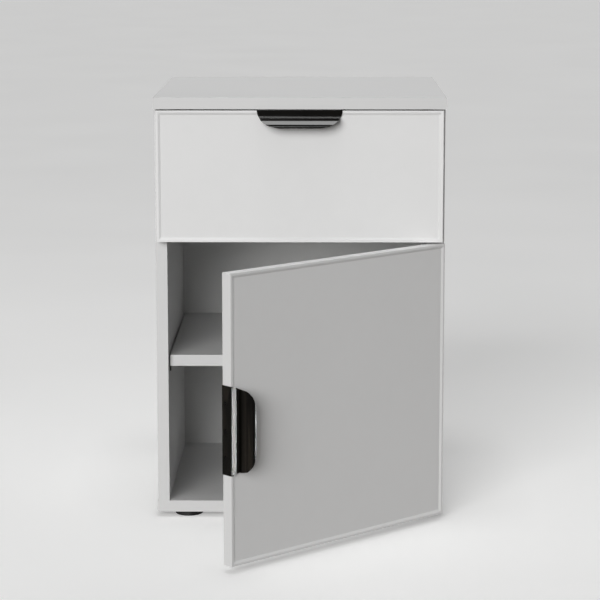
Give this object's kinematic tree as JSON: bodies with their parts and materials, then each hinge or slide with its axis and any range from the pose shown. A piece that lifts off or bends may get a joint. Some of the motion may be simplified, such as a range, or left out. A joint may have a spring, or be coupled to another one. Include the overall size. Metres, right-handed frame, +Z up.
{
  "type": "bedside cabinet",
  "caption": "Free-standing bedside cabinet with a full-extension drawer, a hinged cupboard door standing open, a shelf and formed edge pulls.",
  "frame": {"origin": "on the floor under the middle of the carcass", "axes": "+X to the right seen from the front, +Y to the back, +Z up; the fronts face -Y"},
  "size_m": [0.45, 0.7717, 0.665],
  "materials": {
    "white_lacquer": "satin near-white lacquer on board",
    "white_board": "matt white board",
    "black_bronze": "glossy black-bronze coating",
    "black_screw": "black oxide",
    "dark_pin": "dark burnished steel",
    "black_plastic": "matt black moulded plastic",
    "beech": "bare beech",
    "zinc": "bright zinc plating",
    "nickel": "nickel plating",
    "runner_steel": "zinc-plated sheet steel",
    "clear_buffer": "soft clear polyurethane"
  },
  "bodies": {
    "carcass": {"top_panel": "white_lacquer", "bottom_panel": "white_lacquer", "side_panel_left": "white_lacquer", "side_panel_right": "white_lacquer", "back_panel": "white_board", "dowels": "beech", "cam_bolts": "zinc", "cam_locks": "zinc", "base_screws": "zinc", "shelf": "white_lacquer", "shelf_pins": "dark_pin", "foot_front_left": "black_plastic", "foot_front_right": "black_plastic", "foot_rear_left": "black_plastic", "foot_rear_right": "black_plastic", "foot_screws": "zinc", "hinge_plate_upper": "nickel", "hinge_plate_lower": "nickel", "hinge_plate_screws": "nickel", "hinge_arm_upper": "nickel", "hinge_arm_lower": "nickel", "hinge_arm_screws": "nickel", "runner_outer_left": "runner_steel", "runner_outer_right": "runner_steel", "runner_outer_screws": "zinc"},
    "runner_slider_left": {"runner_middle_left": "runner_steel"},
    "runner_slider_right": {"runner_middle_right": "runner_steel"},
    "drawer": {"runner_inner_left": "runner_steel", "runner_inner_right": "runner_steel", "runner_inner_screws": "zinc", "drawer_front": "white_lacquer", "drawer_box_front": "white_board", "drawer_side_left": "white_board", "drawer_side_right": "white_board", "drawer_back": "white_board", "drawer_base": "white_board", "drawer_box_screws": "zinc", "drawer_front_screws": "zinc", "drawer_pull": "black_bronze", "drawer_pull_screws": "black_screw"},
    "door": {"door_panel": "white_lacquer", "door_pull": "black_bronze", "door_pull_screws": "black_screw", "hinge_cup_upper": "nickel", "hinge_cup_lower": "nickel", "hinge_pins": "zinc", "hinge_cup_screws": "nickel", "door_buffers": "clear_buffer"}
  },
  "joints": [
    {"name": "drawer_slide", "type": "slide", "parent": "carcass", "child": "drawer", "axis": [0, -1, 0], "range_m": [0, 0.33]},
    {"name": "runner_left_slide", "type": "slide", "parent": "carcass", "child": "runner_slider_left", "axis": [0, -1, 0], "range_m": [0, 0.165]},
    {"name": "runner_right_slide", "type": "slide", "parent": "carcass", "child": "runner_slider_right", "axis": [0, -1, 0], "range_m": [0, 0.165]},
    {"name": "door_hinge", "type": "hinge", "parent": "carcass", "child": "door", "pos_m": [0.2142, -0.2264, 0.2245], "axis": [0, 0, 1], "range_deg": [-43.6, 51.4]}
  ],
  "couplings": [
    {"joint": "runner_left_slide", "follows": "drawer_slide", "ratio": 0.5},
    {"joint": "runner_right_slide", "follows": "drawer_slide", "ratio": 0.5}
  ]
}
